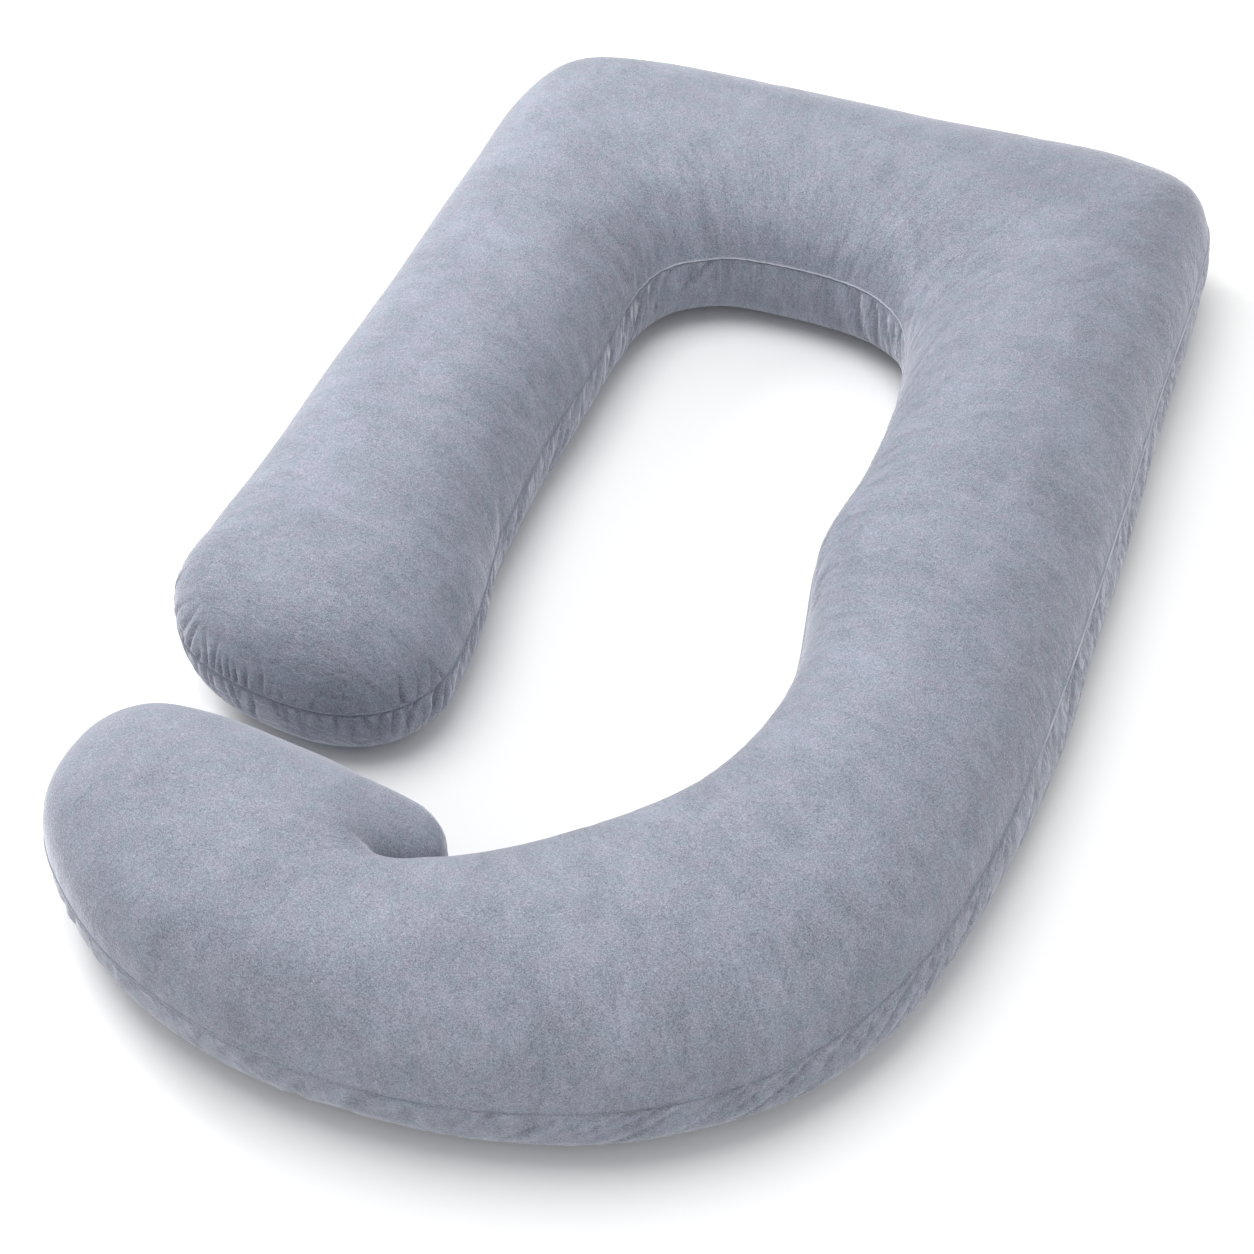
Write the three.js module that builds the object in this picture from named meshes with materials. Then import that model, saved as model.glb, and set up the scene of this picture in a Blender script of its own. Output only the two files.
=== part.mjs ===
// Full-body pillow: a short arm, a head bar, a long arm and a hook in one stuffed tube of cloth,
// bent like a letter G. Two panels of the same outline are sewn together along one seam that runs
// right round the side. Millimetres, +Z up, +Y towards the head bar, +X towards the long arm.
import * as THREE from 'three';
import { mergeVertices } from 'three/addons/utils/BufferGeometryUtils.js';

// Cuts across the tube, from the short arm's end round to the hook. Each goes from a point of the
// inner seam to a point of the outer seam, and the crown lies half way between them.
const CUTS = [
  // innerX, innerY, outerX, outerY
  [-140, -230, -416, -195], // short arm, swelling to its end
  [-145, -155, -416, -140],
  [-165, -55, -412, -45],
  [-170, 65, -408, 70],
  [-164, 190, -404, 205],
  [-162, 290, -402, 330],
  [-154, 348, -400, 445], // corner at the short arm
  [-136, 382, -397, 568],
  [-110, 402, -360, 658],
  [-75, 418, -262, 688],
  [-25, 424, -110, 690], // head bar
  [35, 421, 50, 690],
  [80, 407, 200, 694],
  [116, 380, 318, 693], // corner at the long arm
  [136, 343, 388, 655],
  [147, 296, 402, 532],
  [156, 233, 403, 378], // long arm
  [156, 140, 406, 195],
  [146, 30, 407, 40],
  [157, -60, 407, -82],
  [170, -148, 403, -188],
  [162, -235, 392, -310],
  [135, -308, 361, -447], // foot curve
  [91, -368, 294, -560],
  [35, -423, 194, -640],
  [-27, -472, 73, -683],
  [-52, -491, -55, -697],
  [-68, -507, -182, -685], // hook, turning about the inner end of the cleft
  [-77, -514, -302, -637],
  [-82, -510, -399, -551],
];

// How the filling sits, at some of the cuts above and blended between them. The seams ride higher
// or lower, the lower panel sags outwards past the seam by up to about half of the sag, and the
// top stands steeper over the inner seam where the inner roundness is higher.
const FILLING = [
  // cut, crown, innerSeam, outerSeam, innerSag, outerSag, innerRoundness
  [0, 192, 84, 86, 4, -4, 2.4],
  [2, 190, 90, 92, 8, 6, 2.4],
  [6, 192, 102, 92, 12, 6, 2.4],
  [12, 192, 104, 94, 10, 6, 2.4],
  [15, 192, 96, 100, 6, 22, 2.4],
  [19, 190, 92, 100, 6, 28, 2.4],
  [22, 190, 92, 96, 6, 16, 2.4],
  [24, 192, 92, 90, 4, 4, 2.4],
  [26, 194, 92, 87, 2, -2, 2.6],
  [29, 198, 92, 90, 1, 2, 4.5],
];

// The seam past the last cut: over the top of the hook, round the nub and back into the cleft
const HOOK_RIM = [
  // x, y, seamHeight, sag, roundness
  [-410, -462, 92, 3, 2.4],
  [-371, -407, 92, 4, 2.4],
  [-296, -395, 92, 4, 2.4],
  [-200, -405, 92, 4, 2.4],
  [-118, -419, 92, 3, 2.4],
  [-74, -433, 91, 2, 2.5], // nub
  [-56, -454, 90, 2, 2.7],
  [-53, -476, 90, 1, 3],
  [-66, -498, 91, 1, 3.8], // cleft
];

const SHORT_ARM_END = 114; // reach of the round end past the first cut
const END_ROUNDNESS = 2.4; // 2 is an ellipse, more is squarer
const TOP_ROUNDNESS = 2.4; // over the outer seam
const UNDER_ROUNDNESS = 3;
const UNDER_DEPTH = 1.05; // share of the seam's height, before the floor presses the cloth flat

const STEPS_BETWEEN_ROWS = 3;
const STEPS_ROUND_END = 12;
const STEPS_UP_WALL = 6;
const WELD = 1e-3;

const { lerp, smoothstep } = THREE.MathUtils;
const squared = (value, roundness) => Math.sign(value) * Math.abs(value) ** (2 / roundness);
const lerpRows = (from, to, share) => from.map((value, column) => lerp(value, to[column], share));

// Every point of the seam but the short arm's end, as one smooth curve through the tables' points
function seamPoints() {
  const rows = [
    ...CUTS.map((cut) => cut.slice(2)),
    ...HOOK_RIM.map((row) => row.slice(0, 2)),
    ...CUTS.map((cut) => cut.slice(0, 2)).reverse(),
  ];
  const points = rows.map(([x, y]) => new THREE.Vector3(x, y, 0));
  const curve = new THREE.CatmullRomCurve3(points, false, 'catmullrom');
  return curve.getPoints((rows.length - 1) * STEPS_BETWEEN_ROWS);
}

// The filling's values at any place along the cuts
function fillingAt(place) {
  const next = Math.max(1, FILLING.findIndex((row) => row[0] >= place));
  const [from, to] = [FILLING[next - 1], FILLING[next]];
  const row = lerpRows(from, to, smoothstep(place, from[0], to[0]));
  const [, crown, innerSeam, outerSeam, innerSag, outerSag, innerRoundness] = row;
  return {
    crown,
    inner: [innerSeam, innerSag, innerRoundness],
    outer: [outerSeam, outerSag, TOP_ROUNDNESS],
  };
}

// One station of the rim: a seam point, the middle of the tube it belongs to, and the filling there
function station(seam, middle, crown, [seamHeight, sag, roundness]) {
  return { seam: seam.clone().setZ(seamHeight), middle, crown, sag, roundness };
}

// The short arm's round end, from its inner side to its outer side
function shortArmEnd(inner, middle, filling) {
  const across = inner.clone().sub(middle);
  const onwards = new THREE.Vector3(across.y, -across.x, 0).normalize();
  const stations = [];
  for (let step = 1; step < STEPS_ROUND_END; step += 1) {
    const share = step / STEPS_ROUND_END;
    const angle = Math.PI * share;
    const seam = middle
      .clone()
      .addScaledVector(across, squared(Math.cos(angle), END_ROUNDNESS))
      .addScaledVector(onwards, SHORT_ARM_END * squared(Math.sin(angle), END_ROUNDNESS));
    stations.push(station(seam, middle, filling.crown, lerpRows(filling.inner, filling.outer, share)));
  }
  return stations;
}

// The hook past the last cut, a fan of walls about the crown there
function hookEnd(seams, middle, filling) {
  const rows = [filling.outer, ...HOOK_RIM.map((row) => row.slice(2)), filling.inner];
  return seams.map((seam, i) => {
    const place = (i + 1) / STEPS_BETWEEN_ROWS;
    const row = Math.min(Math.floor(place), rows.length - 2);
    return station(seam, middle, filling.crown, lerpRows(rows[row], rows[row + 1], place - row));
  });
}

// The whole rim in order: outer side, hook, inner side, short arm's end
function rim() {
  const seams = seamPoints();
  const sideLength = (CUTS.length - 1) * STEPS_BETWEEN_ROWS + 1;
  const outer = seams.slice(0, sideLength);
  const hook = seams.slice(sideLength, -sideLength);
  const inner = seams.slice(-sideLength).reverse();
  const middle = inner.map((point, i) => point.clone().lerp(outer[i], 0.5));
  const filling = middle.map((_, i) => fillingAt(i / STEPS_BETWEEN_ROWS));
  const side = (points, name) =>
    points.map((seam, i) => station(seam, middle[i], filling[i].crown, filling[i][name]));
  return [
    ...side(outer, 'outer'),
    ...hookEnd(hook, middle.at(-1), filling.at(-1)),
    ...side(inner, 'inner').reverse(),
    ...shortArmEnd(inner[0], middle[0], filling[0]),
  ];
}

// The wall at one station, from the crown over the seam to the middle of the underside
function wall({ seam, middle, crown, sag, roundness }) {
  const outwards = new THREE.Vector3(seam.x - middle.x, seam.y - middle.y, 0);
  const width = outwards.length();
  outwards.normalize();
  const points = [];
  const place = (distance, height) => {
    points.push(new THREE.Vector3(middle.x, middle.y, height).addScaledVector(outwards, distance));
  };
  for (let step = STEPS_UP_WALL; step >= 0; step -= 1) {
    const angle = (Math.PI / 2) * (step / STEPS_UP_WALL);
    const rise = (crown - seam.z) * squared(Math.sin(angle), roundness);
    place(width * squared(Math.cos(angle), roundness), seam.z + rise);
  }
  for (let step = 1; step <= STEPS_UP_WALL; step += 1) {
    const angle = (Math.PI / 2) * (step / STEPS_UP_WALL);
    const fall = seam.z * UNDER_DEPTH * squared(Math.sin(angle), UNDER_ROUNDNESS);
    const distance = width * squared(Math.cos(angle), UNDER_ROUNDNESS) + sag * Math.sin(2 * angle);
    place(distance, Math.max(0, seam.z - fall));
  }
  return points;
}

// The walls side by side as one closed skin, welded along the crown and the underside
function skin() {
  const walls = rim().map(wall);
  const rows = walls[0].length;
  const faces = [];
  walls.forEach((_, at) => {
    const next = (at + 1) % walls.length;
    for (let row = 0; row < rows - 1; row += 1) {
      const [a, b] = [at * rows + row, next * rows + row];
      faces.push([a, b, a + 1], [b, b + 1, a + 1]);
    }
  });
  const positions = walls.flat().flatMap((point) => point.toArray());
  const geometry = new THREE.BufferGeometry();
  geometry.setAttribute('position', new THREE.Float32BufferAttribute(positions, 3));
  geometry.setIndex(faces.flat());
  return withoutSlivers(mergeVertices(geometry, WELD));
}

// Drops the faces that welding has closed up to a line
function withoutSlivers(geometry) {
  const index = Array.from(geometry.index.array);
  const kept = [];
  for (let i = 0; i < index.length; i += 3) {
    const corners = index.slice(i, i + 3);
    if (new Set(corners).size === 3) kept.push(...corners);
  }
  geometry.setIndex(kept);
  return geometry;
}

// Sets the origin at the middle of the rectangle that the pillow covers, on its underside
function centred(geometry) {
  geometry.computeBoundingBox();
  const { min, max } = geometry.boundingBox;
  return geometry.translate(-(min.x + max.x) / 2, -(min.y + max.y) / 2, -min.z);
}

const velvet = new THREE.MeshStandardMaterial({
  name: 'velvet',
  color: new THREE.Color('rgb(158, 163, 178)'),
  roughness: 0.95,
  metalness: 0,
});

function bodyPillow() {
  const geometry = centred(skin());
  geometry.computeVertexNormals();
  const pillow = new THREE.Mesh(geometry, velvet);
  pillow.name = 'body_pillow';
  return pillow;
}

const object = new THREE.Group();
object.add(bodyPillow());

export default object;
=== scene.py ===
"""A full-body pillow of grey-blue velvet: one stuffed tube bent like a letter G, lying on its underside.

Two panels of the same outline are sewn together right round the side. The skin is laid out as walls,
side by side along the seam: each wall runs from the crown of the tube, over the seam and down to the
middle of the underside. Cloth under pressure fills it, and then the seam, the gathers and the creases
are pressed into it. Metres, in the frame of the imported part.
"""
import math

import bpy
import numpy as np
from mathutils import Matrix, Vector, noise


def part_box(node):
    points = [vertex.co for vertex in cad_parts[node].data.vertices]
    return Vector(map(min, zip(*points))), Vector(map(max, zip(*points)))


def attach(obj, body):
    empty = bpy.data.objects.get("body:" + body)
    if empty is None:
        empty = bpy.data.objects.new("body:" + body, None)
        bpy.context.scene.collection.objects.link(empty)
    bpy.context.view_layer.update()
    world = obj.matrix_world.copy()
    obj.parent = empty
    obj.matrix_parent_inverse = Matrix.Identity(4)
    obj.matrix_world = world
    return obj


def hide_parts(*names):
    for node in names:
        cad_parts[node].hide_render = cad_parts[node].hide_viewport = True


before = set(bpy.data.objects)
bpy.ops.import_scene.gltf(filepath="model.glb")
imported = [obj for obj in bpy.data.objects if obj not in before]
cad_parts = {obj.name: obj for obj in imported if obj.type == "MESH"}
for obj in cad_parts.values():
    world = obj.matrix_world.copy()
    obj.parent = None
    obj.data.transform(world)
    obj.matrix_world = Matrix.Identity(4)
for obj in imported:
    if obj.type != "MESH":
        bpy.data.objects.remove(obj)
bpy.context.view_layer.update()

NODE = "body_pillow"

# ---------------------------------------------------------------- the pillow's shape

# Cuts across the tube, from the short arm's end round to the hook: inner seam point, outer seam point.
CUTS = np.array([
    # inner x, inner y, outer x, outer y
    (-0.140, -0.230, -0.416, -0.195),  # short arm, swelling to its end
    (-0.145, -0.155, -0.416, -0.140),
    (-0.165, -0.055, -0.412, -0.045),
    (-0.170, 0.065, -0.408, 0.070),
    (-0.164, 0.190, -0.404, 0.205),
    (-0.162, 0.290, -0.402, 0.330),
    (-0.154, 0.348, -0.400, 0.445),  # corner at the short arm
    (-0.136, 0.382, -0.397, 0.568),
    (-0.110, 0.402, -0.360, 0.658),
    (-0.075, 0.418, -0.262, 0.688),
    (-0.025, 0.424, -0.110, 0.690),  # head bar
    (0.035, 0.421, 0.050, 0.690),
    (0.080, 0.407, 0.200, 0.694),
    (0.116, 0.380, 0.318, 0.693),  # corner at the long arm
    (0.136, 0.343, 0.388, 0.655),
    (0.147, 0.296, 0.402, 0.532),
    (0.156, 0.233, 0.403, 0.378),  # long arm
    (0.156, 0.140, 0.406, 0.195),
    (0.146, 0.030, 0.407, 0.040),
    (0.157, -0.060, 0.407, -0.082),
    (0.170, -0.148, 0.403, -0.188),
    (0.162, -0.235, 0.392, -0.310),
    (0.135, -0.308, 0.361, -0.447),  # foot curve
    (0.091, -0.368, 0.294, -0.560),
    (0.035, -0.423, 0.194, -0.640),
    (-0.027, -0.472, 0.073, -0.683),
    (-0.052, -0.491, -0.055, -0.697),
    (-0.068, -0.507, -0.182, -0.685),  # hook, turning about the inner end of the cleft
    (-0.077, -0.514, -0.302, -0.637),
    (-0.082, -0.510, -0.399, -0.551),
])

# How the filling sits, at some of the cuts above and blended between them.
FILLING = np.array([
    # cut, crown, inner seam, outer seam, inner sag, outer sag, inner roundness
    (0, 0.192, 0.084, 0.086, 0.004, -0.004, 2.4),
    (2, 0.190, 0.090, 0.092, 0.008, 0.006, 2.4),
    (6, 0.192, 0.102, 0.092, 0.012, 0.006, 2.4),
    (12, 0.192, 0.104, 0.094, 0.010, 0.006, 2.4),
    (15, 0.192, 0.096, 0.100, 0.006, 0.022, 2.4),
    (19, 0.190, 0.092, 0.100, 0.006, 0.028, 2.4),
    (22, 0.190, 0.092, 0.096, 0.006, 0.016, 2.4),
    (24, 0.192, 0.092, 0.090, 0.004, 0.004, 2.4),
    (26, 0.194, 0.092, 0.087, 0.002, -0.002, 2.6),
    (29, 0.198, 0.092, 0.090, 0.001, 0.002, 4.5),
])

# The seam past the last cut: over the top of the hook, round the nub and back into the cleft.
HOOK_RIM = np.array([
    # x, y, seam height, sag, roundness
    (-0.410, -0.462, 0.092, 0.003, 2.4),
    (-0.371, -0.407, 0.092, 0.004, 2.4),
    (-0.296, -0.395, 0.092, 0.004, 2.4),
    (-0.200, -0.405, 0.092, 0.004, 2.4),
    (-0.118, -0.419, 0.092, 0.003, 2.4),
    (-0.074, -0.433, 0.091, 0.002, 2.5),  # nub
    (-0.056, -0.454, 0.090, 0.002, 2.7),
    (-0.053, -0.476, 0.090, 0.001, 3),
    (-0.066, -0.498, 0.091, 0.001, 3.8),  # cleft
])

SHORT_ARM_END = 0.114  # reach of the round end past the first cut
END_ROUNDNESS = 2.4  # 2 is an ellipse, more is squarer
TOP_ROUNDNESS = 2.4  # over the outer seam
UNDER_ROUNDNESS = 3.0
UNDER_DEPTH = 1.05  # share of the seam's height, before the floor presses the cloth flat

# Places along the seam: -1 to 0 is the short arm's round end, from its inner to its outer side, and
# then come one for each cut of the outer side, the hook's points and the cuts of the inner side.
OUTER_END = len(CUTS) - 1
INNER_START = OUTER_END + len(HOOK_RIM) + 1
PLACES = INNER_START + OUTER_END + 1


def squared(value, roundness):
    """A sine or cosine bent so that the pair of them draws a squarer curve than an ellipse."""
    return np.sign(value) * np.abs(value) ** (2 / roundness)


def smooth_curve(points, steps):
    """A Catmull-Rom curve through the points, with that many steps from each to the next."""
    points = np.vstack([2 * points[0] - points[1], points, 2 * points[-1] - points[-2]])
    pieces = []
    for before, start, end, after, count in zip(points, points[1:], points[2:], points[3:], steps):
        t = np.linspace(0, 1, count, endpoint=False)[:, None]
        pieces.append(start + 0.5 * t * (end - before
                      + t * (2 * before - 5 * start + 4 * end - after
                             + t * (3 * (start - end) + after - before))))
    return np.vstack(pieces + [points[-2][None]])


def filling_at(cuts):
    """Crown, inner and outer seam, inner and outer sag and inner roundness at places among the cuts."""
    following = np.clip(np.searchsorted(FILLING[:, 0], cuts), 1, len(FILLING) - 1)
    before, after = FILLING[following - 1], FILLING[following]
    share = np.clip((cuts - before[:, 0]) / (after[:, 0] - before[:, 0]), 0, 1)
    return before[:, 1:] + (after - before)[:, 1:] * (share ** 2 * (3 - 2 * share))[:, None]


def stations(spacing, end_spacing):
    """The stations along the seam, one row each.

    The columns are place, seam x and y, middle x and y, crown, seam height, sag and roundness.
    """
    outline = np.vstack([CUTS[:, 2:], HOOK_RIM[:, :2], CUTS[::-1, :2]])
    gaps = np.linalg.norm(np.diff(outline, axis=0), axis=1)
    sides = np.maximum(gaps[:OUTER_END], gaps[INNER_START:][::-1])
    gaps = np.concatenate([sides, gaps[OUTER_END:INNER_START], sides[::-1]])
    steps = np.ceil(gaps / spacing).astype(int)
    seam = smooth_curve(outline, steps)
    count = steps[:OUTER_END].sum() + 1
    outer, hook, inner = seam[:count], seam[count:-count], seam[-count:][::-1]
    middle = (outer + inner) / 2
    cuts = np.concatenate([k + np.arange(n) / n for k, n in enumerate(steps[:OUTER_END])] + [[OUTER_END]])
    crown, inner_seam, outer_seam, inner_sag, outer_sag, inner_roundness = filling_at(cuts).T
    top = np.full(count, TOP_ROUNDNESS)
    outer_side = np.column_stack([cuts, outer, middle, crown, outer_seam, outer_sag, top])
    inner_side = np.column_stack([PLACES - 1 - cuts, inner, middle, crown, inner_seam, inner_sag,
                                  inner_roundness])
    return np.vstack([short_arm_end(inner_side[0], outer_side[0], end_spacing), outer_side,
                      hook_end(hook, outer_side[-1], inner_side[-1], steps[OUTER_END:INNER_START]),
                      inner_side[:0:-1]])


def short_arm_end(inner, outer, spacing):
    """The round end's stations, from the inner side's first one up to the outer side's."""
    across = inner[1:3] - inner[3:5]
    onwards = np.array([across[1], -across[0]]) / np.linalg.norm(across)
    share = np.linspace(0, 1, int(math.pi * SHORT_ARM_END / spacing), endpoint=False)
    rows = inner + (outer - inner) * share[:, None]
    rows[:, 0] = share - 1
    rows[:, 1:3] = (inner[3:5] + squared(np.cos(math.pi * share), END_ROUNDNESS)[:, None] * across
                    + SHORT_ARM_END * squared(np.sin(math.pi * share), END_ROUNDNESS)[:, None] * onwards)
    return rows


def hook_end(seam, outer, inner, steps):
    """The hook's stations past the last cut, a fan of walls about the crown there."""
    places = np.concatenate([OUTER_END + k + np.arange(n) / n for k, n in enumerate(steps)])[1:]
    values = np.vstack([outer[6:], HOOK_RIM[:, 2:], inner[6:]])
    blended = [np.interp(places - OUTER_END, np.arange(len(values)), column) for column in values.T]
    fixed = np.tile(outer[3:6], (len(seam), 1))
    return np.column_stack([places, seam, fixed] + blended)


def walls(rim, levels):
    """The skin's points, (station, level, xyz).

    Levels run from 1 at the crown over 0 at the seam to -1 at the middle of the underside.
    """
    seam, middle = rim[:, None, 1:3], rim[:, None, 3:5]
    crown, height, sag, roundness = rim[:, None, 5:].transpose(2, 0, 1)
    angle = np.abs(levels) * math.pi / 2
    above = levels >= 0
    cosine = np.where(np.abs(levels) == 1, 0.0, np.cos(angle))
    bend = np.where(above, roundness, UNDER_ROUNDNESS)
    out = squared(cosine, bend)
    rise = squared(np.sin(angle), bend)
    width = np.linalg.norm(seam - middle, axis=2)
    push = np.where(above, 0, sag * np.sin(2 * angle))
    flat = middle + (seam - middle) * (out + push / width)[..., None]
    z = np.where(above, height + (crown - height) * rise, height - height * UNDER_DEPTH * rise)
    return np.dstack([flat, np.maximum(z, 0)])


# ---------------------------------------------------------------- meshes from the walls

def skin_mesh(name, points):
    """A closed mesh of the walls, and the vertex of each (station, level)."""
    rows = np.round(points.reshape(-1, 3), 6)
    _, first, which = np.unique(rows, axis=0, return_index=True, return_inverse=True)
    which = which.reshape(points.shape[:2])
    beside = np.roll(which, -1, axis=0)
    faces = np.stack([which[:, :-1], beside[:, :-1], beside[:, 1:], which[:, 1:]], axis=2).reshape(-1, 4)
    kept = [list(dict.fromkeys(face)) for face in faces.tolist()]
    mesh = bpy.data.meshes.new(name)
    mesh.from_pydata(points.reshape(-1, 3)[first].tolist(), [], [face for face in kept if len(face) > 2])
    mesh.update()
    return mesh, which


def read(mesh, what):
    """A mesh's vertex places ("co") or normals ("normal"), one row each."""
    values = np.empty(len(mesh.vertices) * 3)
    mesh.vertices.foreach_get(what, values)
    return values.reshape(-1, 3)


def place(mesh, corners):
    """Moves a mesh's vertices to the given places."""
    mesh.vertices.foreach_set("co", corners.ravel())
    mesh.update()


def spread(which, values):
    """Values of each (station, level) as values of each vertex."""
    out = np.zeros(which.max() + 1)
    out[which.ravel()] = values.ravel()
    return out


# ---------------------------------------------------------------- filling the cover

CLOTH_SPACING = 0.014
CLOTH_LEVELS = np.linspace(1, -1, 41)
UNFILLED = 0.004  # how much smaller the cover starts all round
MOST_FILLED = 0.002  # how far from its drawn shape the pressure may take any point
HOLD = 0.1  # how firmly the drawn shape holds the cloth
PRESSURE = 4
STRETCH_STIFFNESS = 40
HOLD_STIFFNESS = 5
LAST_FRAME = 20


def fill_with_pressure():
    """Lets cloth under pressure swell from a slightly smaller cover.

    Returns the cover's stations, and how each (station, level) has moved, with the average swelling
    taken off.
    """
    rim = stations(CLOTH_SPACING, CLOTH_SPACING / 2)
    mesh, which = skin_mesh("cover", walls(rim, CLOTH_LEVELS))
    outwards = read(mesh, "normal")
    empty = read(mesh, "co") - UNFILLED * outwards
    place(mesh, empty)
    cover = bpy.data.objects.new("cover", mesh)
    scene = bpy.context.scene
    scene.collection.objects.link(cover)
    cover.vertex_groups.new(name="held").add(list(range(len(empty))), HOLD, "REPLACE")
    cloth = cover.modifiers.new("cloth", "CLOTH")
    cloth.settings.effector_weights.gravity = 0
    cloth.settings.use_pressure = True
    cloth.settings.uniform_pressure_force = PRESSURE
    cloth.settings.tension_stiffness = cloth.settings.compression_stiffness = STRETCH_STIFFNESS
    cloth.settings.vertex_group_mass = "held"
    cloth.settings.pin_stiffness = HOLD_STIFFNESS
    cloth.collision_settings.use_collision = False
    cloth.point_cache.frame_end = LAST_FRAME
    for frame_number in range(1, LAST_FRAME + 1):
        scene.frame_set(frame_number)
    filled = cover.evaluated_get(bpy.context.evaluated_depsgraph_get()).to_mesh()
    moved = read(filled, "co") - empty
    scene.frame_set(1)
    bpy.data.objects.remove(cover)
    moved -= (moved * outwards).sum(axis=1).mean() * outwards
    length = np.linalg.norm(moved, axis=1)[:, None]
    moved *= MOST_FILLED * np.tanh(length / MOST_FILLED) / np.maximum(length, 1e-9)
    return rim, moved[which]


def between(values, places):
    """Smoothly blended rows of values at fractional places, going round and round."""
    start = np.floor(places).astype(int)
    t = (places - start).reshape((-1,) + (1,) * (values.ndim - 1))
    before, here, there, after = [values[(start + k) % len(values)] for k in (-1, 0, 1, 2)]
    return here + 0.5 * t * (there - before + t * (2 * before - 5 * here + 4 * there - after
                                                   + t * (3 * (here - there) + after - before)))


def carried_over(rim, levels, coarse_rim, moved):
    """The pressure's movement at each (station, level) of a finer skin."""
    closed = np.append(coarse_rim[:, 0], PLACES - 1)
    along = np.interp(rim[:, 0], closed, np.arange(len(closed)))
    rows = between(moved, along).transpose(1, 0, 2)
    up = np.interp(-levels, -CLOTH_LEVELS, np.arange(len(CLOTH_LEVELS)))
    padded = np.concatenate([rows, rows[-1:], rows[-1:], rows[:1]])
    return between(padded, up).transpose(1, 0, 2)


# ---------------------------------------------------------------- seam, gathers and creases

# Runs of creases along the seam, above it (1) or below it (-1). Each crease starts some way off
# the seam and runs on for its reach, leaning along the seam as it goes.
CREASES = [
    # from, to, side, spacing, start, reach, depth, width, lean
    (-0.50, 0.10, 1, 0.0105, 0.001, 0.060, 0.0032, 0.0026, -0.15),  # gathers at the short arm's end
    (-0.66, -0.50, 1, 0.0130, 0.001, 0.030, 0.0016, 0.0026, -0.1),
    (-0.50, 0.10, -1, 0.0105, 0.001, 0.050, 0.0026, 0.0027, 0.05),
    (-0.66, -0.50, -1, 0.0130, 0.001, 0.040, 0.0018, 0.0028, 0.05),
    (-0.98, -0.80, 1, 0.0140, 0.001, 0.040, 0.0024, 0.0030, 0.1),
    (-0.98, -0.74, -1, 0.0130, 0.001, 0.060, 0.0034, 0.0032, 0.1),
    (-0.80, -0.66, 1, 0.0180, 0.001, 0.030, 0.0012, 0.0034, 0.0),
    (-0.74, -0.66, -1, 0.0150, 0.001, 0.050, 0.0022, 0.0034, 0.0),
    (0.05, 6.0, 1, 0.040, 0.002, 0.060, 0.0007, 0.0070, 0.2),  # outer side, short arm and head bar
    (0.05, 6.0, -1, 0.026, 0.002, 0.070, 0.0012, 0.0065, 0.3),
    (6.0, 13.0, 1, 0.030, 0.003, 0.060, 0.0007, 0.0065, 0.2),
    (6.0, 13.0, -1, 0.028, 0.003, 0.070, 0.0012, 0.0065, 0.3),
    (13.0, 15.0, 1, 0.020, 0.003, 0.060, 0.0010, 0.0060, 0.0),
    (13.0, 24.5, 1, 0.034, 0.002, 0.045, 0.0006, 0.0070, -0.4),  # long arm
    (13.0, 24.5, -1, 0.027, 0.001, 0.095, 0.0028, 0.0075, 1.6),
    (24.5, 29.0, 1, 0.030, 0.002, 0.050, 0.0007, 0.0060, -0.2),  # foot curve and hook
    (24.5, 29.0, -1, 0.024, 0.001, 0.070, 0.0022, 0.0070, 0.5),
    (29.0, 38.0, 1, 0.024, 0.003, 0.060, 0.0007, 0.0060, 0.1),
    (29.0, 38.0, -1, 0.022, 0.003, 0.060, 0.0013, 0.0060, 0.1),
    (41.0, 48.2, 1, 0.026, 0.004, 0.090, 0.0008, 0.0065, 0.5),  # inner side of the long arm
    (48.2, 52.5, 1, 0.017, 0.006, 0.120, 0.0013, 0.0058, 0.9),
    (52.5, 54.6, 1, 0.018, 0.004, 0.120, 0.0010, 0.0060, 0.4),
    (41.0, 54.0, -1, 0.022, 0.002, 0.075, 0.0016, 0.0065, 0.6),
    (54.0, 56.8, -1, 0.017, 0.002, 0.090, 0.0028, 0.0058, -0.3),  # inner corners of the head bar
    (54.6, 57.0, 1, 0.018, 0.004, 0.100, 0.0009, 0.0060, -0.2),
    (56.8, 59.5, -1, 0.030, 0.002, 0.070, 0.0010, 0.0070, 0.0),
    (56.8, 59.5, 1, 0.030, 0.004, 0.080, 0.0006, 0.0065, 0.0),
    (59.5, 63.0, -1, 0.019, 0.001, 0.090, 0.0028, 0.0060, 0.7),
    (59.5, 63.5, 1, 0.020, 0.006, 0.110, 0.0010, 0.0065, 0.1),
    (63.0, 67.9, -1, 0.024, 0.002, 0.085, 0.0022, 0.0072, 0.9),  # inner side of the short arm
    (63.5, 67.9, 1, 0.030, 0.004, 0.060, 0.0007, 0.0070, 0.2),
]
CREASE_SEED = 7
# How each crease may differ from its run's values: shares of them, or else spreads.
FIRST_GAP = (0.2, 0.8)
GAPS = (0.6, 1.4)
DEPTHS = (0.45, 1.2)
REACHES = (0.4, 1.1)
STARTS = (0, 0.2)
WIDTHS = (0.75, 1.4)
LEAN_SPREAD = 0.2
BOW_SPREAD = 2.5
CREASE_FIELD = 0.2  # how far along the seam a crease may show
FADE_IN = 0.12  # share of its reach over which a crease begins
# a crease's painted shade is darkest at this depth; the puffs beside it get painted highlight
CREASE_SHADE = 0.0025  # the depth at which a crease looks darkest

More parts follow.
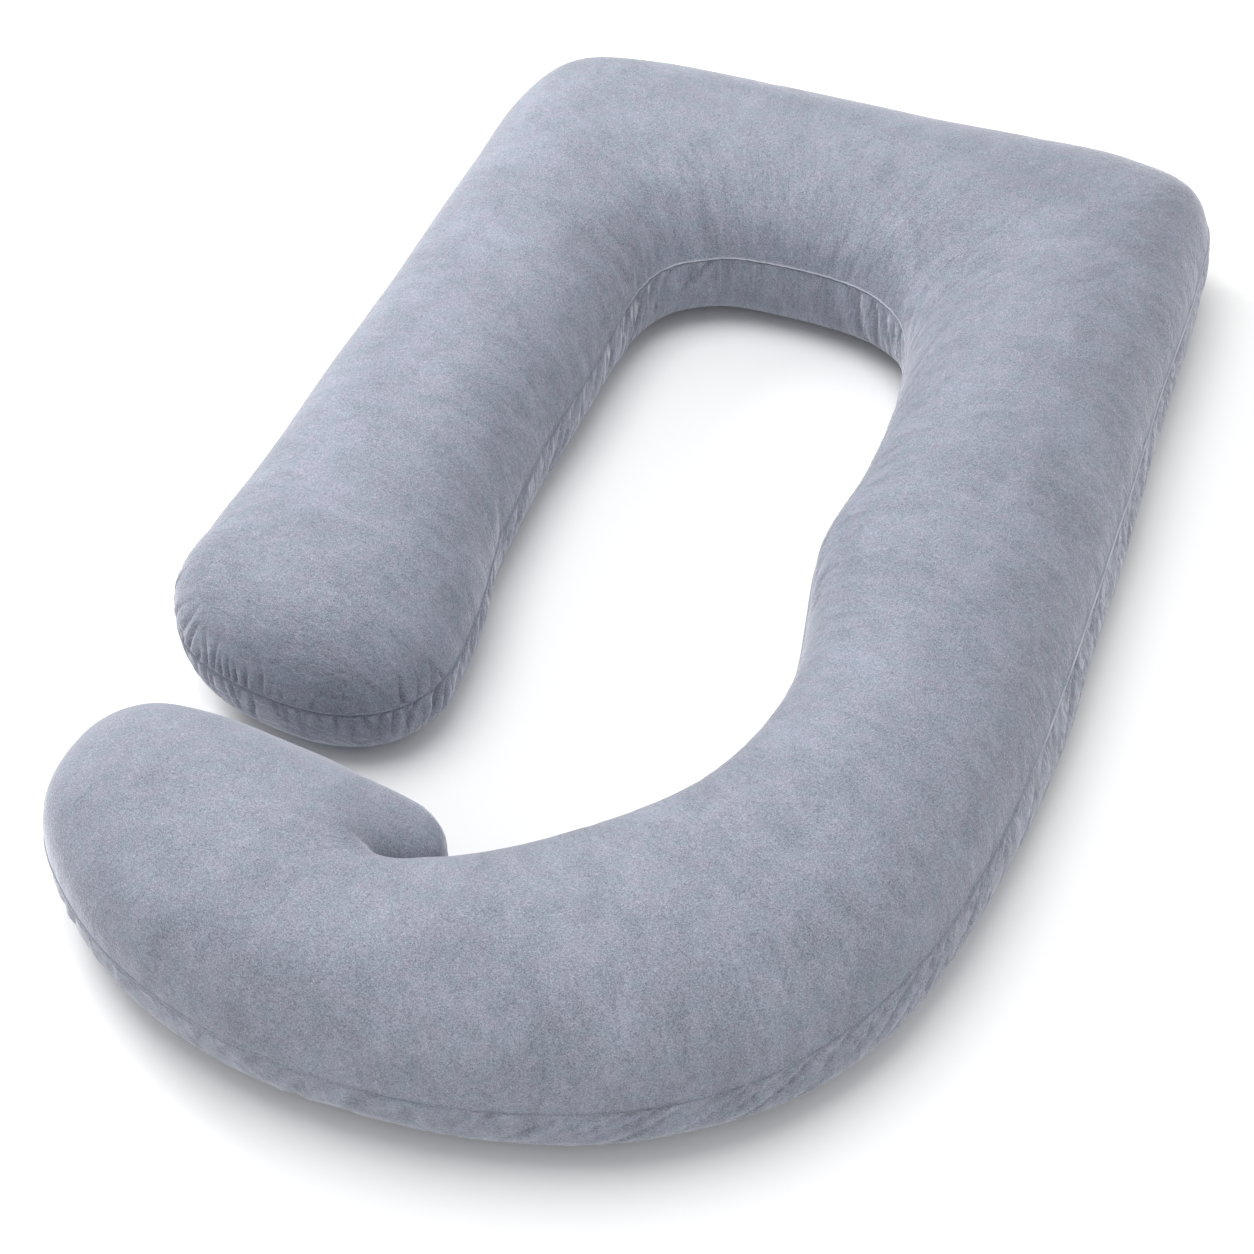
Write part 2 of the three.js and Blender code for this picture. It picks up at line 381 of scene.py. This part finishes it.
SEAM_TUCK = 0.0003
SEAM_TUCK_WIDTH = 0.006
ROLL = (0.0002, 0.0008, 0.0014)  # the seam's roll: how far off it lies, half its width and its height
GAP = (-0.0018, 0.0007, 0.0007)  # the groove beneath it
EASED = 0.34  # how much of the lower panel's bulge the upper panel is eased back by above the seam
EASED_OVER = 0.018  # how far above the seam that sets in
EASED_UP_TO = 0.13  # and how far up it has mostly gone
CREASE_FREE = 0.004  # how far off the seam creases reach their full depth


def seam_run(points, seam_row):
    """How far along the seam each station is, from the short arm's inner side, and the seam's length."""
    seam = points[:, seam_row]
    steps = np.linalg.norm(np.roll(seam, -1, axis=0) - seam, axis=1)
    return np.concatenate([[0], np.cumsum(steps[:-1])]), steps.sum()


def from_crown(points):
    """How far each (station, level) is from the crown over the cloth."""
    steps = np.linalg.norm(np.diff(points, axis=1), axis=2)
    return np.concatenate([np.zeros((len(points), 1)), np.cumsum(steps, axis=1)], axis=1)


def crease_depths(rim, run, length, off):
    """How far the creases press in each (station, level)."""
    chance = np.random.RandomState(CREASE_SEED)
    depth = np.zeros(off.shape)
    for first, last, side, spacing, start, reach, deep, width, lean in CREASES:
        at, end = np.interp([first, last], rim[:, 0], run)
        at += spacing * chance.uniform(*FIRST_GAP)
        while at < end:
            size = deep * chance.uniform(*DEPTHS)
            goes = reach * chance.uniform(*REACHES)
            begins = start + goes * chance.uniform(*STARTS)
            slope, bow = lean + chance.normal(0, LEAN_SPREAD), chance.normal(0, BOW_SPREAD)
            wide = width * chance.uniform(*WIDTHS)
            beside = (run - at + length / 2) % length - length / 2
            rows = np.abs(beside) < CREASE_FIELD
            away = off[rows] * side
            share = (away - begins) / goes
            across = (beside[rows, None] - slope * away - bow * away ** 2) / wide
            along = np.where(share < 0, 1 + share / FADE_IN, (1 - share) ** 1.3 * (1 + share))
            # a sharp valley in a soft one, between two low puffs
            valley = 0.55 * np.exp(-(across / 0.45) ** 2) + 0.45 * np.exp(-across ** 2)
            puff = 0.4 * np.exp(-((np.abs(across) - 1.8) / 0.9) ** 2)
            depth[rows] += np.where((share > -FADE_IN) & (share < 1), size * along * (valley - puff), 0)
            at += spacing * chance.uniform(*GAPS)
    return depth * np.clip(np.abs(off) / CREASE_FREE, 0, 1)


def seam_depths(off):
    """How far the seam presses in each (station, level).

    It is a soft tuck with the roll of the upper panel in it, and the gap under that.
    """
    depth = SEAM_TUCK * np.exp(-np.abs(off / SEAM_TUCK_WIDTH) ** 1.4)
    for (where, width, height), way in ((ROLL, -1), (GAP, 1)):
        depth += way * height * np.exp(-((off - where) / width) ** 2)
    return depth


def easing(rim, off):
    """How far the upper panel is drawn in above the seam, to run on into the lower one's bulge."""
    above = np.maximum(off, 0)
    return EASED * rim[:, 7:8] * (1 - np.exp(-above / EASED_OVER)) * np.exp(-(above / EASED_UP_TO) ** 2)


SEAM_KEPT = 0.006  # how far off the seam the skin stays as drawn when it is evened out
FULLY_SOFT = 0.026  # and from how far off it moves freely
SOFTENED = [
    # x, y, z, reach, rounds: places where the drawn walls meet too sharply
    (-0.115, -0.475, 0.160, 0.085, 60),  # the fold between the hook's tip and the tube
    (-0.102, -0.486, 0.150, 0.056, 200),
]


def soften(mesh, corners, off):
    """Evens out the skin about the softened places, leaving the seam as it is."""
    edges = np.empty(len(mesh.edges) * 2, int)
    mesh.edges.foreach_get("vertices", edges)
    first, second = edges.reshape(-1, 2).T
    count = np.bincount(edges)[:, None]
    clear = np.clip((np.abs(off) - SEAM_KEPT) / (FULLY_SOFT - SEAM_KEPT), 0, 1)
    for x, y, z, reach, rounds in SOFTENED:
        near = np.clip(1 - np.linalg.norm(corners - (x, y, z), axis=1) / reach, 0, 1)
        share = (near * near * (3 - 2 * near) * clear)[:, None]
        for _ in range(rounds):
            total = np.zeros_like(corners)
            np.add.at(total, first, corners[second])
            np.add.at(total, second, corners[first])
            corners = corners + share * (total / count - corners)
    return corners


SWELLED = [
    # x, y, z, reach, height: places where the filling pushes out a little further
    (-0.415, -0.255, 0.10, 0.085, 0.0050),  # the short arm's end, outer side
    (0.375, 0.668, 0.10, 0.070, 0.0060),  # the outer corner of the long arm
    (-0.366, 0.655, 0.10, 0.070, 0.0035),  # the outer corner of the short arm
    (-0.075, -0.440, 0.12, 0.045, 0.0060),  # the hook's tip
    (0.150, 0.005, 0.11, 0.055, 0.0050),  # the long arm's inner bulge
    (-0.168, 0.000, 0.09, 0.080, 0.0035),  # the short arm's inner side
]


def swelling(corners):
    """How far each vertex is pushed out by the filling."""
    out = np.zeros(len(corners))
    for x, y, z, reach, height in SWELLED:
        out += height * np.exp(-(((corners - (x, y, z)) / reach) ** 2).sum(axis=1))
    return out


SOFTNESS = [
    # size of the lumps, height
    (0.16, 0.0016),
    (0.06, 0.0006),
]


def lumps(corners):
    """The unevenness of the filling, outwards, for each vertex."""
    out = np.zeros(len(corners))
    for size, height in SOFTNESS:
        out += height * np.array([noise.noise(Vector(corner) / size) for corner in corners.tolist()])
    return out


HOOK_CUT = 27  # the first of the hook's cuts
HOOK_CALM = 0.75  # how much less the pile is streaked in the hook's fan


def pile_lie(rim, from_the_crown):
    """Where each (station, level) is on the tube: along it, across it, and how far from the crown."""
    places = rim[:, 0]
    outer = rim[(places >= 0) & (places <= OUTER_END)]
    along = np.concatenate([[0], np.cumsum(np.linalg.norm(np.diff(outer[:, 3:5], axis=0), axis=1))])
    stretches = [places < 0, places <= OUTER_END, places < INNER_START]
    cuts = np.select(stretches, [0, places, OUTER_END], PLACES - 1 - places)
    round_hook = (places - OUTER_END) / (INNER_START - OUTER_END)
    turn = math.pi * np.select(stretches, [places, 0 * places, round_hook], 1)[:, None]
    start = np.interp(cuts, outer[:, 0], along)[:, None]
    calm = 1 - HOOK_CALM * np.clip((cuts - HOOK_CUT) / (OUTER_END - HOOK_CUT), 0, 1)[:, None]
    return np.dstack([start + from_the_crown * np.sin(turn), from_the_crown * np.cos(turn),
                      from_the_crown * calm])


# ---------------------------------------------------------------- the velvet

class Socket:
    """An output of a node. Sums and products of values add Math nodes, of vectors Vector Math nodes."""

    def __init__(self, finish, output):
        self.finish = finish
        self.output = output

    def _maths(self, operation, first, second):
        kinds = [value.output.type for value in (first, second) if isinstance(value, Socket)]
        if "VECTOR" in kinds or "RGBA" in kinds:
            first, second = [(side,) * 3 if isinstance(side, (int, float)) else side
                             for side in (first, second)]
            return self.finish.node("ShaderNodeVectorMath", {"operation": operation}, {0: first, 1: second})
        return self.finish.node("ShaderNodeMath", {"operation": operation}, {0: first, 1: second})

    def __add__(self, other):
        return self._maths("ADD", self, other)

    def __radd__(self, other):
        return self._maths("ADD", other, self)

    def __sub__(self, other):
        return self._maths("SUBTRACT", self, other)

    def __rsub__(self, other):
        return self._maths("SUBTRACT", other, self)

    def __mul__(self, other):
        return self._maths("MULTIPLY", self, other)

    def __rmul__(self, other):
        return self._maths("MULTIPLY", other, self)

    def __abs__(self):
        return self.finish.node("ShaderNodeMath", {"operation": "ABSOLUTE"}, {0: self})


# The Mix node's sockets for colours, which share their names with its sockets for other kinds.
MIX_SHARE, MIX_FIRST, MIX_SECOND, MIX_RESULT = 0, 6, 7, 2


class Finish:
    """A material, and the one way to add nodes to it."""

    def __init__(self, name):
        self.material = bpy.data.materials.new(name)
        self.material.use_nodes = True
        self.tree = self.material.node_tree
        self.tree.nodes.clear()

    def node(self, kind, settings=None, sockets=None, output=0):
        """Adds a node, with its settings first and then the values or links of its sockets.

        Returns one of its outputs.
        """
        node = self.tree.nodes.new(kind)
        for name, value in (settings or {}).items():
            setattr(node, name, value)
        for name, value in (sockets or {}).items():
            if isinstance(value, Socket):
                self.tree.links.new(value.output, node.inputs[name])
            else:
                node.inputs[name].default_value = value
        return Socket(self, node.outputs[output]) if len(node.outputs) else None

    def soft_noise(self, where, scale, detail=2.0, roughness=0.5, distortion=0.0):
        """Even noise from 0 to 1, the same for the same place."""
        return self.node("ShaderNodeTexNoise", {"noise_dimensions": "3D"},
                         {"Vector": where, "Scale": scale, "Detail": detail, "Roughness": roughness,
                          "Distortion": distortion})

    def stretch(self, value, low, high, to_low=0.0, to_high=1.0):
        """Goes smoothly from to_low to to_high as the value goes from low to high."""
        return self.node("ShaderNodeMapRange", {"interpolation_type": "SMOOTHSTEP"},
                         {"Value": value, "From Min": low, "From Max": high,
                          "To Min": to_low, "To Max": to_high})

    def blend(self, share, first, second):
        """From the first colour to the second as share goes from 0 to 1."""
        return self.node("ShaderNodeMix", {"data_type": "RGBA"},
                         {MIX_SHARE: share, MIX_FIRST: first, MIX_SECOND: second}, MIX_RESULT)

    def surface(self, shader):
        """Puts the shader on the material, and returns the material."""
        self.node("ShaderNodeOutputMaterial", None, {"Surface": shader})
        return self.material


# How fine the marks in the pile are, in marks to a metre.
CLOUDS, PATCHES, FOLDS, HUES, STREAKS = 14, 42, 48, 55, 90
STROKES, CURLS, TUFTS, GRAINS = 300, 300, 430, 900
# how often the strength of the painted seam line changes, in changes to a metre
PAINTED_SEAM_CHANGES = 16
PILE_BLUE = (0.243, 0.270, 0.322, 1)
PILE_LILAC = (0.265, 0.272, 0.331, 1)
# painted highlight for the seam's roll, and painted shade for it and for the groove beneath it
SEAM_PAINTED_HIGHLIGHT = (0.62, 0.64, 0.70, 1)
SEAM_PAINTED_SHADE = (0.09, 0.10, 0.13, 1)
SEAM_PAINTED_LIGHT = [
    # place along the seam, painted light: 0 paints the seam's roll as a dark line of shade, 1 as a light
    # line of highlight
    (-1, 0.1), (-0.3, 0.1),  # short arm's end
    (0, 0.5), (12, 1.0), (19.2, 1.0),  # outer side as far as the foot curve
    (20.4, 0.15), (25.5, 0.15),
    (27, 0.5), (36, 0.5),  # hook
    (45, 0.6), (56, 0.75), (62, 0.7),  # inner side of the long arm and the head bar
    (64, 0.2), (68, 0.1),
]


def velvet():
    """Short pile that lies this way and that: soft cloudy marks, streaks across the tube, fine grain."""
    # Besides the pile's own marks, this paints shade into the creases and a line of painted light and shade
    # along the seam.
    cloth = Finish("velvet")
    spot = cloth.node("ShaderNodeTexCoord", output="Object")
    lie = cloth.node("ShaderNodeAttribute", {"attribute_name": "pile_lie"}, output="Vector")
    off, creased, painted_light = [cloth.node("ShaderNodeAttribute", {"attribute_name": name}, output="Fac")
                           for name in ("off_seam", "creased", "seam_painted_light")]
    from_the_crown = cloth.node("ShaderNodeSeparateXYZ", None, {"Vector": lie}, output="Z")
    # streaks fade out on the crown and at the seam, and folds show only below it
    away = (cloth.stretch(from_the_crown, 0.02, 0.12, 0.12, 1.0)
            * cloth.stretch(abs(off), 0.001, 0.008, 0.1, 1.0))
    below = cloth.stretch(off, -0.008, 0.0, 1.0, 0.0)
    clouds = cloth.soft_noise(spot, CLOUDS, 2, 0.5) - 0.5
    hue = cloth.soft_noise(spot, HUES, 2, 0.6)
    # marks drawn out across the tube
    patches = cloth.soft_noise(lie * (1, 0.5, 0), PATCHES, 2, 0.6, 0.8) - 0.5
    streaks = (cloth.soft_noise(lie * (1, 0.25, 0), STREAKS, 2, 0.5, 0.5) - 0.5) * away
    folds = (cloth.soft_noise(lie * (1, 0.35, 0), FOLDS, 1, 0.5, 0.8) - 0.5) * below
    strokes = (cloth.soft_noise(lie * (1, 0.5, 0), STROKES, 2, 0.6, 0.8) - 0.5) * (0.4 + away * 0.6)
    # marks of the single hairs
    tufts = cloth.soft_noise(spot, TUFTS, 1, 0.6, 1.0) - 0.5
    grain = cloth.soft_noise(spot, GRAINS, 1, 0.6) - 0.5
    curls = cloth.stretch(abs(cloth.soft_noise(spot, CURLS, 1, 0.6, 1.6) - 0.5), 0.0, 0.055, 1.0, 0.0)
    # the creased term paints shade into the creases and highlight onto the puffs beside them
    shade = (0.93 + clouds * 0.35 + patches * (0.32 + below * 0.25) + streaks * 0.30 + strokes * 0.40
             + tufts * 0.5 + grain * 1.4 + curls * 0.24 - creased * 0.22)
    tone = cloth.blend(cloth.stretch(hue, 0.35, 0.65), PILE_BLUE, PILE_LILAC) * shade
    # the seam's roll painted as a light line of highlight in some places and a dark line of shade in
    # others, and painted shade in the groove beneath it
    uneven = cloth.stretch(cloth.soft_noise(lie * (1, 0, 0), PAINTED_SEAM_CHANGES, 3, 0.6), 0.38, 0.62, 0.5, 1.0)
    roll = cloth.stretch(abs(off - ROLL[0]), 0.5 * ROLL[1], 1.5 * ROLL[1], 1.0, 0.0) * uneven
    # gap marks the groove under the seam's roll, for painted shade
    gap = cloth.stretch(abs(off - GAP[0]), 0.4 * GAP[1], 1.4 * GAP[1], 1.0, 0.0) * (1.25 - uneven * 0.5)
    # painted highlight on the roll where the place calls for a light line, painted shade where it calls for
    # a dark one
    tone = cloth.blend(roll * cloth.stretch(painted_light, 0.3, 1.0, 0.0, 0.72), tone, SEAM_PAINTED_HIGHLIGHT)
    tone = cloth.blend(roll * cloth.stretch(painted_light, 0.0, 0.5, 0.55, 0.0), tone, SEAM_PAINTED_SHADE)
    # painted shade in the groove under the roll, deeper where the roll is painted dark
    tone = cloth.blend(gap * (0.90 - painted_light * 0.6), tone, SEAM_PAINTED_SHADE)
    height = (streaks * (0.0012 + below * 0.0012) + folds * 0.0050 + strokes * 0.0007 + tufts * 0.0005
              + grain * 0.00025)
    normal = cloth.node("ShaderNodeBump", None, {"Height": height, "Strength": 1.0, "Distance": 1.0})
    return cloth.surface(cloth.node("ShaderNodeBsdfPrincipled", None, {
        "Base Color": tone, "Roughness": 0.92, "Normal": normal, "Specular IOR Level": 0.2,
        "Sheen Weight": 1.0, "Sheen Roughness": 0.27, "Sheen Tint": (0.92, 0.93, 1.0, 1)}))


# ---------------------------------------------------------------- the pillow

SPACING = 0.0062  # between stations
END_SPACING = 0.0015  # at the short arm's end, where the walls fan out
# Levels of the skin's rows: even ones above the seam, down to where the cloth meets the floor and
# a few under it, and close ones for the seam's roll and groove.
LEVELS_ABOVE = np.linspace(1, 0, 29)
LEVELS_BELOW = np.concatenate([np.linspace(0, -0.56, 17), (-0.65, -0.8, -1)])
NEAR_SEAM = (0.0200, 0.0110, 0.0062, 0.0036, 0.0016, -0.0004, -0.0011, -0.0022, -0.0050, -0.0110)


def velvet_pillow():
    """The whole pillow as one piece: laid out, filled, evened out, creased and set on the solid's place."""
    rim = stations(SPACING, END_SPACING)
    levels = np.unique(np.concatenate([LEVELS_ABOVE, NEAR_SEAM, LEVELS_BELOW]))[::-1]
    seam_row = int(np.argmin(np.abs(levels)))
    points = walls(rim, levels)
    run, length = seam_run(points, seam_row)
    down = from_crown(points)
    off = down[:, seam_row:seam_row + 1] - down
    mesh, which = skin_mesh("velvet_pillow", points)
    drawn = read(mesh, "co")
    filled = drawn.copy()
    moved = carried_over(rim, levels, *fill_with_pressure())
    for axis in range(3):
        filled[:, axis] += spread(which, moved[..., axis])
    filled = soften(mesh, filled, spread(which, off))
    place(mesh, filled)
    creased = crease_depths(rim, run, length, off)
    pressed = creased + seam_depths(off) + easing(rim, off)
    filled += (lumps(filled) + swelling(filled) - spread(which, pressed))[:, None] * read(mesh, "normal")
    resting = drawn[:, 2] <= 0
    filled[:, 2] = np.where(resting, 0, np.maximum(filled[:, 2], 0))
    low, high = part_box(NODE)
    centre = (drawn.min(0) + drawn.max(0)) / 2
    place(mesh, filled - [centre[0], centre[1], 0] + [(low.x + high.x) / 2, (low.y + high.y) / 2, 0])
    mesh.polygons.foreach_set("use_smooth", np.ones(len(mesh.polygons), bool))
    # the creases' depth as a share, painted by the velvet as shade in the creases and as highlight on the
    # puffs
    painted_crease_shade = np.clip(creased / CREASE_SHADE, -0.5, 1)
    # along the seam, how far its roll is painted as a light line of highlight rather than a dark line of
    # shade
    painted_light = np.interp(rim[:, 0], *zip(*SEAM_PAINTED_LIGHT))[:, None] * np.ones_like(off)
    for name, values in (("off_seam", off), ("creased", painted_crease_shade), ("seam_painted_light", painted_light)):
        mesh.attributes.new(name, "FLOAT", "POINT").data.foreach_set("value", spread(which, values))
    lie = pile_lie(rim, down)
    lie = np.stack([spread(which, lie[..., axis]) for axis in range(3)], axis=1)
    mesh.attributes.new("pile_lie", "FLOAT_VECTOR", "POINT").data.foreach_set("vector", lie.ravel())
    mesh.materials.append(velvet())
    pillow = bpy.data.objects.new("velvet_pillow", mesh)
    bpy.context.scene.collection.objects.link(pillow)
    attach(pillow, "root")
    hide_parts(NODE)


# ---------------------------------------------------------------- floor, lights and camera

FLOOR_REACH = 8
FLOOR_WHITE = (0.93, 0.93, 0.93, 1)
ROOM_LIGHT = 0.74
LAMPS = [
    # name, spot, size, power
    ("softbox", (-0.35, -0.3, 3.2), 2.4, 59),
    ("window", (-1.95, 0.75, 1.3), 1.2, 37),
]


def floor():
    """A plain pale floor, wide enough to fill the view."""
    mesh = bpy.data.meshes.new("floor")
    corners = [(-1, -1, 0), (1, -1, 0), (1, 1, 0), (-1, 1, 0)]
    mesh.from_pydata([Vector(corner) * FLOOR_REACH for corner in corners], [], [(0, 1, 2, 3)])
    pale = Finish("pale_floor")
    mesh.materials.append(pale.surface(pale.node("ShaderNodeBsdfPrincipled", None, {
        "Base Color": FLOOR_WHITE, "Roughness": 0.9, "Specular IOR Level": 0.0})))
    piece = bpy.data.objects.new("floor", mesh)
    bpy.context.scene.collection.objects.link(piece)


def soft_light(name, spot, size, power):
    """A round lamp that faces the middle of the floor."""
    light = bpy.data.lights.new(name, "AREA")
    light.shape = "DISK"
    light.size = size
    light.energy = power
    lamp = bpy.data.objects.new(name, light)
    lamp.location = spot
    lamp.rotation_euler = (-Vector(spot)).to_track_quat("-Z", "Y").to_euler()
    bpy.context.scene.collection.objects.link(lamp)


def studio():
    """Even white light from all round, with a softbox above and a paler window at the side."""
    world = bpy.data.worlds.new("studio")
    world.use_nodes = True
    background = world.node_tree.nodes["Background"]
    background.inputs["Color"].default_value = (1, 1, 1, 1)
    background.inputs["Strength"].default_value = ROOM_LIGHT
    scene = bpy.context.scene
    scene.world = world
    scene.view_settings.view_transform = "Standard"
    for lamp in LAMPS:
        soft_light(*lamp)


FRAME_SIDE = 1254  # pixels
FOCAL = 2750  # pixels of that frame
EYE = (0.6136, -1.8332, 1.974)
LOOKING_DOWN = math.radians(46.13)
TURNED_LEFT = math.radians(19.93)


def camera():
    """The camera, looking down along the pillow from its foot."""
    lens = bpy.data.cameras.new("camera")
    lens.sensor_width = 36
    lens.lens = lens.sensor_width * FOCAL / FRAME_SIDE
    eye = bpy.data.objects.new("camera", lens)
    eye.location = EYE
    eye.rotation_euler = (math.pi / 2 - LOOKING_DOWN, 0, TURNED_LEFT)
    bpy.context.scene.collection.objects.link(eye)
    bpy.context.scene.camera = eye


camera()
velvet_pillow()
floor()
studio()
